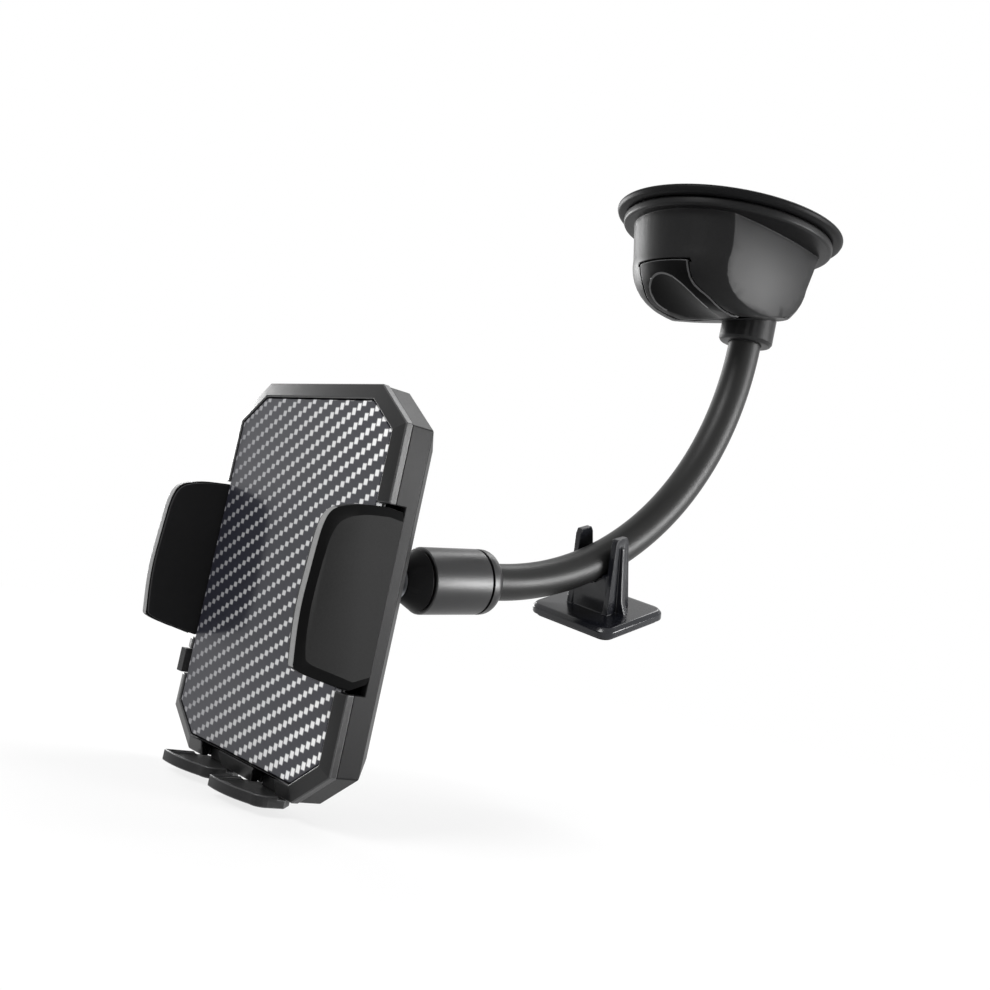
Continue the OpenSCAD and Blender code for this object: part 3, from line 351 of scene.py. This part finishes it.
def swept(radius, wall):
    """A tube along the root, the bend and the straight end, with its wall turned in at both ends."""
    bm = bmesh.new()
    ring = bmesh.ops.create_circle(bm, segments=neck_sides, radius=radius)["verts"]
    bmesh.ops.translate(bm, verts=ring, vec=(0, neck_start.y, sleeve_high.z))
    geom = list(bm.edges)
    for step in range(root_steps):
        geom = bmesh.ops.extrude_edge_only(bm, edges=geom)["geom"]
        moved = [g for g in geom if isinstance(g, bmesh.types.BMVert)]
        bmesh.ops.translate(bm, verts=moved, vec=(0, 0, (neck_start.z - sleeve_high.z) / root_steps))
        geom = [g for g in geom if isinstance(g, bmesh.types.BMEdge) and all(v in moved for v in g.verts)]
    ends = [v for e in geom for v in e.verts]
    geom = bmesh.ops.spin(bm, geom=geom + list(set(ends)), cent=bend_centre, axis=(1, 0, 0),
                          angle=-bend_angle, steps=bend_steps)["geom_last"]
    geom = [g for g in geom if isinstance(g, bmesh.types.BMEdge)]
    geom = bmesh.ops.extrude_edge_only(bm, edges=geom)["geom"]
    along = Vector((0, -math.sin(bend_angle), -math.cos(bend_angle)))
    tail = [g for g in geom if isinstance(g, bmesh.types.BMVert)]
    bmesh.ops.translate(bm, verts=tail, vec=along * neck_plug)
    rims = [e for e in bm.edges if e.is_boundary]
    if wall:
        bmesh.ops.recalc_face_normals(bm, faces=bm.faces)
        bmesh.ops.solidify(bm, geom=bm.faces, thickness=wall)
    else:
        bmesh.ops.holes_fill(bm, edges=rims)
    return bm


neck_rubber = moulded("neck_rubber", (0.006, 0.006, 0.0058), 0.42, uneven=0.25, specular=0.28)
for name, radius, wall, finish, slot, node in (
        ("neck_sleeve", neck_r, neck_r - core_r - core_fit, neck_rubber, "neck_rubber", "gooseneck_sleeve"),
        ("neck_core", core_r, 0, spring_steel, "steel", "gooseneck_core")):
    tube = show(swept(radius, wall), name, None, slot, finish, node)
    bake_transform(tube)

# Ball joint: a slotted collet with a cone nose holds the ball, a lock sleeve turns on it and a round cap
# closes its back, all moulded black. The ball's seat inside is a pale, slippery plastic.
joint = next(j for j in frame["joints"] if j["name"] == "sleeve_turn")
joint_axis = Vector(joint["axis"])
rim_centre = Vector(joint["pos_m"])
cap_back = 22.8 * mm
cap_h = 4.1 * mm
lock_r = 8.7 * mm
lock_gap = 0.3 * mm
lock_len = cap_back - cap_h - lock_gap
lock_rounding = ((0.8 * mm, 0), (0.3 * mm, 0.12 * mm), (0.05 * mm, 0.4 * mm), (0, 0.7 * mm))
lock_chamfer = 0.4 * mm
cap_round = 3 * mm
cap_steps = 8
cap_fit = 0.05 * mm
cap_gap = 0.1 * mm
bore_r = 6.95 * mm
joint_black = (0.008, 0.008, 0.0085)


def at_joint(bm):
    turn = Vector((0, 0, 1)).rotation_difference(joint_axis).to_matrix().to_4x4()
    bm.transform(Matrix.Translation(rim_centre) @ turn)
    return bm


joint_plastic = moulded("joint_plastic", joint_black, 0.36, uneven=0.25, specular=0.5)
nose_plastic = moulded("nose_plastic", (0.006, 0.006, 0.0063), 0.4, uneven=0.25)
lock = turned([(bore_r, 0)] + [(lock_r - inward, up) for inward, up in lock_rounding]
              + [(lock_r, lock_len - lock_chamfer), (lock_r - lock_chamfer, lock_len), (bore_r, lock_len)],
              closed=True)
show(at_joint(lock), "lock_sleeve_shell", "lock_sleeve", "satin_plastic", joint_plastic, "joint_sleeve")
cap_front = cap_back - cap_h + cap_gap
cap_profile = [(neck_r + cap_fit, cap_front), (lock_r, cap_front)]
for step in range(cap_steps + 1):
    angle = math.radians(90 * step / cap_steps)
    cap_profile.append((lock_r - cap_round + cap_round * math.cos(angle),
                        cap_back - cap_round + cap_round * math.sin(angle)))
cap_profile.append((neck_r + cap_fit, cap_back))
cap = turned(cap_profile, closed=True)
show(at_joint(cap), "rear_cap_ring", "neck", "satin_plastic", joint_plastic, "rear_cap")
dressed("socket_collet", 0.2 * mm, materials=nose_plastic, slot="satin_plastic")
inner_plastic = moulded("inner_plastic", (0.55, 0.54, 0.51), 0.35, uneven=0.15)
dressed("ball_seat", 0.15 * mm, materials=inner_plastic, slot="inner_plastic")

# Ball stud, washer and screw: a cast and polished ball on a shank, drawn up against a washer inside the
# cradle by one screw, so that the cradle can turn on it.
joint_metal = machined("joint_metal", (0.34, 0.35, 0.37), 0.24)
dressed("ball_stud", 0.15 * mm, materials=joint_metal, slot="joint_metal")
dressed("stud_washer", 0.1 * mm, materials=steel, slot="steel")
dressed("stud_screw", 0.1 * mm, materials=steel, slot="steel")

# Support foot: a moulded plate with two ribbed prongs and a saddle that snaps on the neck, in a dark
# blue-grey plastic with more gloss than the rest. A thin foam pad sticks it to the dashboard.
foot_plastic = moulded("foot_plastic", (0.006, 0.0065, 0.009), 0.2, uneven=0.3, specular=0.4)
dressed("support_foot", 0.25 * mm, materials=foot_plastic, slot="foot_plastic")
foam = moulded("foam_pad", (0.02, 0.02, 0.021), 0.85, uneven=0.8, grain=0.12 * mm)
dressed("foot_pad", 0.2 * mm, materials=foam, slot="adhesive")

# Front frame: the cradle's eight-sided front edge in satin black, with a bevel round it, open at both
# sides for the arms and at the bottom for the feet's legs.
frame_plastic = moulded("frame_plastic", (0.006, 0.006, 0.0063), 0.33, specular=0.26)
frame_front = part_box("front_bezel")[0].y
edge_drop = 0.6 * mm
face_slack = 0.05 * mm


def low_edge(bm):
    """The inner edge stands a little lower than its block, so that the bevel shows from the side."""
    for v in bm.verts:
        if v.co.y < frame_front + face_slack:
            v.co.y += edge_drop


# The frame's rounded edges are painted paler, as a highlight.
dressed("front_bezel", 0.3 * mm, materials=[frame_plastic, edge_highlight_plastic], slot="satin_plastic",
        change=low_edge, highlight_slot=1)

# Front plate: a plastic plate with a printed carbon weave under a clear gloss skin. The weave is a two by
# two twill, drawn wider than high, whose bright floats climb to the right.
weave_w = 1.86 * mm
weave_h = 1.12 * mm
weave_repeat = 4.0
fibre_scale = (5200.0, 0.0, 900.0)
float_height = 0.03 * mm


def woven():
    """Twill: how far a point lies inside a bright float, and the fine fibres that run along the yarns."""
    tree, given, out = group("twill_weave", [("Vector", "Place"), ("Float", "Spread")],
                             [("Float", "Float"), ("Float", "Fibres")])
    parts = place(tree, "SeparateXYZ", {0: given["Place"]})
    u = place(tree, "Math", {0: parts.outputs["X"], 1: weave_w}, operation="DIVIDE").outputs[0]
    v = place(tree, "Math", {0: parts.outputs["Z"], 1: weave_h}, operation="DIVIDE").outputs[0]
    column = place(tree, "Math", {0: u}, operation="FLOOR").outputs[0]
    climb = place(tree, "Math", {0: v, 1: column}, operation="SUBTRACT").outputs[0]
    phase = place(tree, "Math", {0: climb, 1: weave_repeat}, operation="FLOORED_MODULO").outputs[0]
    across = place(tree, "Math", {0: u}, operation="FRACT").outputs[0]
    centred = place(tree, "Math", {0: across, 1: 0.5}, operation="SUBTRACT").outputs[0]
    side = place(tree, "Math", {0: centred}, operation="ABSOLUTE").outputs[0]
    along = place(tree, "Math", {0: phase, 1: weave_repeat / 2}, operation="SUBTRACT").outputs[0]
    reach = place(tree, "Math", {0: along}, operation="ABSOLUTE").outputs[0]
    body = place(tree, "MapRange", {"Value": side, "From Min": 0.3, "From Max": 0.5, "To Min": 1.0,
                                    "To Max": 0.0}, interpolation_type="SMOOTHSTEP").outputs[0]
    half = place(tree, "Math", {0: given["Spread"], 1: 0.3}, operation="ADD").outputs[0]
    length = place(tree, "MapRange", {"Value": reach, "From Min": given["Spread"], "From Max": half,
                                      "To Min": 1.0, "To Max": 0.0},
                   interpolation_type="SMOOTHSTEP").outputs[0]
    mask = place(tree, "Math", {0: length, 1: body}, operation="MULTIPLY").outputs[0]
    combed = place(tree, "VectorMath", {0: given["Place"], 1: fibre_scale}, operation="MULTIPLY").outputs[0]
    fine = place(tree, "TexNoise", {"Vector": combed, "Scale": 1.0, "Detail": 3.0})
    tree.links.new(mask, out["Float"])
    tree.links.new(fine.outputs["Fac"], out["Fibres"])
    return tree


carbon = bpy.data.materials.new("carbon_print_and_sheen")
carbon.use_nodes = True
carbon_tree = carbon.node_tree
carbon_shader = carbon_tree.nodes["Principled BSDF"]
where = place(carbon_tree, "TexCoord")
plate_low, plate_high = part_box("carbon_plate")
# The printed floats are painted brighter, and drawn wider, towards the right and towards the top and bottom:
# a painted sheen.
plate_parts = place(carbon_tree, "SeparateXYZ", {0: where.outputs["Object"]})
rightward = place(carbon_tree, "MapRange", {"Value": plate_parts.outputs["X"], "From Min": plate_low.x,
                                            "From Max": plate_high.x}).outputs[0]
upward = place(carbon_tree, "MapRange", {"Value": plate_parts.outputs["Z"], "From Min": plate_low.z,
                                         "From Max": plate_high.z, "To Min": -1.0, "To Max": 1.0}).outputs[0]
ends = place(carbon_tree, "Math", {0: upward, 1: 2.0}, operation="POWER").outputs[0]
painted_sheen = place(carbon_tree, "Math", {0: rightward, 1: ends}, operation="MULTIPLY").outputs[0]
painted_lift = place(carbon_tree, "Math", {0: rightward, 1: 0.7, 2: 0.08}, operation="MULTIPLY_ADD").outputs[0]
bright = place(carbon_tree, "Math", {0: painted_sheen, 1: 0.25, 2: painted_lift}, operation="MULTIPLY_ADD").outputs[0]
sheen_spread = place(carbon_tree, "MapRange", {"Value": painted_sheen, "To Min": 0.36, "To Max": 0.7}).outputs[0]
twill = place(carbon_tree, "Group", node_tree=woven())
carbon_tree.links.new(where.outputs["Object"], twill.inputs["Place"])
carbon_tree.links.new(sheen_spread, twill.inputs["Spread"])
ground = place(carbon_tree, "MixRGB", {"Fac": twill.outputs["Fibres"], "Color1": (0.003, 0.003, 0.006, 1),
                                      "Color2": (0.025, 0.026, 0.037, 1)})
# The floats' colour runs from dim grey to near white with that painted sheen; the weave itself is print.
spot = place(carbon_tree, "MixRGB", {"Fac": bright, "Color1": (0.11, 0.11, 0.125, 1),
                                     "Color2": (0.9, 0.9, 0.9, 1)})
cloth_tone = place(carbon_tree, "MixRGB", {"Fac": twill.outputs["Float"], "Color1": ground.outputs[0],
                                          "Color2": spot.outputs[0]})
carbon_tree.links.new(cloth_tone.outputs[0], carbon_shader.inputs["Base Color"])
carbon_bump = place(carbon_tree, "Bump", {"Height": twill.outputs["Float"], "Distance": float_height})
carbon_tree.links.new(carbon_bump.outputs[0], carbon_shader.inputs["Normal"])
carbon_gloss = place(carbon_tree, "MapRange", {"Value": twill.outputs["Fibres"], "To Min": 0.48,
                                               "To Max": 0.62})
carbon_tree.links.new(carbon_gloss.outputs[0], carbon_shader.inputs["Roughness"])
carbon_shader.inputs["Specular IOR Level"].default_value = 0.1
carbon_shader.inputs["Coat Weight"].default_value = 0.5
carbon_shader.inputs["Coat Roughness"].default_value = 0.12
plate_rise = 0.25 * mm


def risen_plate(bm):
    """The film stands a little proud of the plate, close under the frame's edge."""
    for v in bm.verts:
        if v.co.y < plate_low.y + face_slack:
            v.co.y -= plate_rise


dressed("carbon_plate", 0.25 * mm, materials=carbon, slot="carbon_look", change=risen_plate)

# Guide plate, axle and pinion: a pale slippery plate carries the racks' rails, and the pinion between the
# two racks turns on a riveted steel axle.
dressed("guide_plate", 0.15 * mm, materials=inner_plastic, slot="inner_plastic")
dressed("pinion_axle", 0.12 * mm, materials=steel, slot="steel")
gear_plastic = moulded("gear_plastic", (0.5, 0.47, 0.4), 0.32, uneven=0.15)
dressed("pinion", 0.06 * mm, materials=gear_plastic, slot="inner_plastic")

# Clamp arms: satin black paddles, each in one piece with its rack. The outer face is a flat grey panel; its
# sloped border is painted black as shade, and the front edge is painted paler as a highlight. A smooth rubber
# pad is stuck on the inside.
arm_plastic = moulded("arm_plastic", (0.005, 0.005, 0.0052), 0.36)
arm_panel = moulded("arm_panel", (0.0125, 0.0125, 0.0125), 0.5)
# The border's near-black is painted shade, and the front edge's pale grey is a painted highlight.
arm_border = moulded("arm_border", (0.002, 0.002, 0.0021), 0.4, specular=0.05)
arm_edge_painted_highlight = moulded("arm_edge_painted_highlight", (0.24, 0.24, 0.24), 0.34, uneven=0.3)
pad_rubber = moulded("pad_rubber", (0.008, 0.008, 0.0085), 0.6, uneven=0.3, grain=0.03 * mm, specular=0.2)
arm_outer_x = 39.4 * mm
arm_round_x = 36.5 * mm
reach_share = 0.875
brow_share = 0.2
shoulder_share = 0.1
shoulder_z = 17 * mm
most_reach = 1.2
panel_slack = 0.1 * mm
cradle_centre = Vector(next(j for j in frame["joints"] if j["name"] == "gear_turn")["pos_m"])


def drawn_in(bm):
    """The paddle's front is a flat bow with square shoulders, a little short of its block."""
    for v in bm.verts:
        if v.co.y < frame_front:
            height = (v.co.z - cradle_centre.z) / shoulder_z
            reach = reach_share + brow_share * max(height, 0) ** 2 + shoulder_share * height ** 8
            v.co.y = frame_front + min(reach, most_reach) * (v.co.y - frame_front)


def arm_drawn_in_and_painted_light(bm):
    """The panel keeps its own grey, the sloped border is painted black as shade, and the front edge is
    painted paler as a highlight.
    """
    drawn_in(bm)
    for f in bm.faces:
        out = abs(f.calc_center_median().x)
        if abs(f.normal.x) > 0.99 and out > arm_outer_x - panel_slack:
            f.material_index = 1
        elif out > arm_round_x and abs(f.normal.x) > 0.3:
            f.material_index = 2
        elif out > arm_round_x and f.normal.y < -0.45:
            f.material_index = 3


for side in ("right", "left"):
    dressed(side + "_arm", 0.25 * mm, materials=[arm_plastic, arm_panel, arm_border, arm_edge_painted_highlight],
            slot="satin_plastic", change=arm_drawn_in_and_painted_light)
    dressed(side + "_pad", 0.2 * mm, materials=pad_rubber, slot="rubber_black", change=drawn_in)

# Arm spring: one steel coil between the guide plate's post and the end of the right arm's tongue. It pushes
# the right arm open, and the pinion takes the left arm with it.
small_coil_r = 0.9 * mm
small_wire = 0.5 * mm
arm_spring_turns = 9


def lying_spring(node, turns):
    """A small spring along X in its node's place."""
    low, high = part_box(node)
    bm = spring(small_coil_r, small_wire, turns, high.x - low.x)
    middle = Vector((low.x, (low.y + high.y) / 2, (low.z + high.z) / 2))
    bm.transform(Matrix.Translation(middle) @ Matrix.Rotation(math.pi / 2, 4, "Y"))
    piece = show(bm, node + "_coil", None, "steel", spring_steel, node)
    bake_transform(piece)


lying_spring("arm_spring", arm_spring_turns)

# Latch: a moulded pawl on a steel pin, whose tip drops between the ratchet teeth of the left rack.
latch_plastic = moulded("latch_plastic", (0.42, 0.36, 0.24), 0.35, uneven=0.2)
dressed("latch_pawl", 0.1 * mm, materials=latch_plastic, slot="inner_plastic")
dressed("pawl_pin", 0.1 * mm, materials=steel, slot="steel")

# Release button: a satin black cap in the cradle's left side, in one piece with its slider and ramp, and
# pushed out by a small spring.
button_spring_turns = 4
button_plastic = moulded("button_plastic", (0.04, 0.04, 0.041), 0.4)
dressed("release_button", 0.1 * mm, materials=button_plastic, slot="satin_plastic")
lying_spring("button_spring", button_spring_turns)

# Bottom feet: a carrier with two legs slides in the cradle, and each leg ends in a bowed foot with a
# raised lip that holds the phone's lower edge. All are satin black mouldings.
foot_grey = moulded("feet_plastic", (0.02, 0.02, 0.0205), 0.36, specular=0.12)
frame_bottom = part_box("front_bezel")[0].z
shelf_below = 0.9 * mm
shelf_rise = 0.6 * mm


def thick_shelf(bm):
    """The shelf's upper face comes up close under the frame."""
    for v in bm.verts:
        if abs(v.co.z - frame_bottom + shelf_below) < face_slack:
            v.co.z += shelf_rise


dressed("feet_carrier", 0.25 * mm, materials=frame_plastic, slot="satin_plastic", change=thick_shelf)
# The feet's rounded edges are painted paler, as a highlight.
for side in ("left", "right"):
    dressed(side + "_foot", 0.3 * mm, materials=[foot_grey, edge_highlight_plastic], slot="satin_plastic",
            change=thick_shelf, highlight_slot=1)

# Rear shell and its screws: the cradle's back tray in satin black with a sloped edge and the stud's boss,
# held to the front frame by four countersunk steel screws.
shell_plastic = moulded("shell_plastic", (0.008, 0.008, 0.0083), 0.42, specular=0.12)
slope_depth = 6.4 * mm
slope_later = 1.1 * mm
slope_area = 40 * mm * mm
back_share = 0.98


def steep_slope(bm):
    """The slope round the back starts a little later and ends further in; the holes beside it stay."""
    sloped = [f for f in bm.faces if 0.3 < f.normal.y < 0.95 and f.calc_area() > slope_area]
    corners = {v for f in sloped for v in f.verts}
    slope_start = cradle_centre.y + slope_depth
    back_rim = max(v.co.y for v in corners)
    for v in corners:
        along = min(max((v.co.y - slope_start) / (back_rim - slope_start), 0), 1)
        share = 1 - (1 - back_share) * along
        v.co.x = cradle_centre.x + share * (v.co.x - cradle_centre.x)
        v.co.z = cradle_centre.z + share * (v.co.z - cradle_centre.z)
        v.co.y += slope_later * (1 - along)


dressed("rear_shell", 0.3 * mm, materials=shell_plastic, slot="satin_plastic", change=steep_slope)
dressed("shell_screws", 0.12 * mm, materials=steel, slot="steel")

# Studio: a pale floor below the holder, a white surround and four soft lamps. The camera stands to the
# front right at the height of the cradle's middle, and leans as the photograph's does.
floor_gap = 2 * mm
floor_half = 6
shadow_reach = 0.5
low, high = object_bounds()
scene = bpy.context.scene
bm = bmesh.new()
bmesh.ops.create_grid(bm, x_segments=1, y_segments=1, size=floor_half)
bmesh.ops.translate(bm, verts=bm.verts, vec=(0, 0, low.z - floor_gap))
floor_mesh = bpy.data.meshes.new("floor")
bm.to_mesh(floor_mesh)
bm.free()
floor = bpy.data.objects.new("floor", floor_mesh)
scene.collection.objects.link(floor)
floor_paint = bpy.data.materials.new("floor_paint")
floor_paint.use_nodes = True
floor_tree = floor_paint.node_tree
floor_tree.nodes["Principled BSDF"].inputs["Base Color"].default_value = (0.86, 0.86, 0.86, 1)
floor_tree.nodes["Principled BSDF"].inputs["Roughness"].default_value = 0.9
glow = place(floor_tree, "Emission", {"Color": (1, 1, 1, 1), "Strength": 1.0})
rays = place(floor_tree, "LightPath")
ground_place = place(floor_tree, "TexCoord")
flat_place = place(floor_tree, "VectorMath", {0: ground_place.outputs["Object"], 1: (1, 1, 0)},
                   operation="MULTIPLY")
off_centre = place(floor_tree, "VectorMath", {0: flat_place.outputs[0]}, operation="LENGTH")
whiteness = place(floor_tree, "MapRange", {"Value": off_centre.outputs["Value"], "From Min": 0.1,
                                           "From Max": shadow_reach, "To Min": 0.75, "To Max": 1.0})
through = place(floor_tree, "Math", {0: rays.outputs["Is Camera Ray"],
                                     1: rays.outputs["Is Transmission Ray"]}, operation="MAXIMUM")
mirrored = place(floor_tree, "Math", {0: through.outputs[0], 1: rays.outputs["Is Glossy Ray"]},
                 operation="MAXIMUM")
share = place(floor_tree, "Math", {0: mirrored.outputs[0], 1: whiteness.outputs[0]}, operation="MULTIPLY")
plain_paint = floor_tree.nodes["Principled BSDF"].outputs[0]
mixed = place(floor_tree, "MixShader", {0: share.outputs[0], 1: plain_paint, 2: glow.outputs[0]})
floor_tree.links.new(mixed.outputs[0], floor_tree.nodes["Material Output"].inputs["Surface"])
floor_mesh.materials.append(floor_paint)

world = bpy.data.worlds.new("studio")
scene.world = world
world.use_nodes = True
world_tree = world.node_tree
backdrop = world_tree.nodes["Background"]
backdrop.inputs["Color"].default_value = (1, 1, 1, 1)
room_level = 0.25
sight = place(world_tree, "LightPath")
seen = place(world_tree, "Math", {0: sight.outputs["Is Camera Ray"], 1: sight.outputs["Is Transmission Ray"]},
             operation="MAXIMUM")
seen_too = place(world_tree, "Math", {0: seen.outputs[0], 1: sight.outputs["Is Glossy Ray"]},
                 operation="MAXIMUM")
level = place(world_tree, "MapRange", {"Value": seen_too.outputs[0], "To Min": room_level, "To Max": 1.0})
world_tree.links.new(level.outputs[0], backdrop.inputs["Strength"])

lamp_centre = Vector((0, -0.06, -0.1))
for name, direction, distance, size, power in (
        ("left_lamp", (-0.98, 0.02, 0.05), 0.8, 0.4, 6.0),
        ("rear_right_lamp", (0.75, 0.62, -0.02), 0.8, 0.4, 14.0),
        ("top_lamp", (-0.15, 0.55, 0.8), 0.9, 0.5, 5.0),
        ("front_lamp", (0.1, -0.8, 0.6), 1.0, 0.4, 6.0)):
    light = bpy.data.lights.new(name, "AREA")
    light.energy = power
    light.size = size
    lamp = bpy.data.objects.new(name, light)
    lamp.location = lamp_centre + Vector(direction).normalized() * distance
    lamp.rotation_mode = "QUATERNION"
    lamp.rotation_quaternion = (lamp_centre - lamp.location).to_track_quat("-Z", "Y")
    scene.collection.objects.link(lamp)

camera_right = Vector((0.6189, 0.7579, 0.2064))
camera_up = Vector((-0.0717, -0.2072, 0.9757))
camera_back = camera_right.cross(camera_up)
camera_place = Vector((259.9, -273.2, -123.5)) * mm
camera_turn = Matrix((camera_right, camera_up, camera_back)).transposed()
camera_data = bpy.data.cameras.new("camera")
camera_data.lens = 45.29
camera_data.sensor_width = 36
camera = bpy.data.objects.new("camera", camera_data)
camera.matrix_world = Matrix.LocRotScale(camera_place, camera_turn, None)
scene.collection.objects.link(camera)
scene.camera = camera
scene.view_settings.view_transform = "Standard"
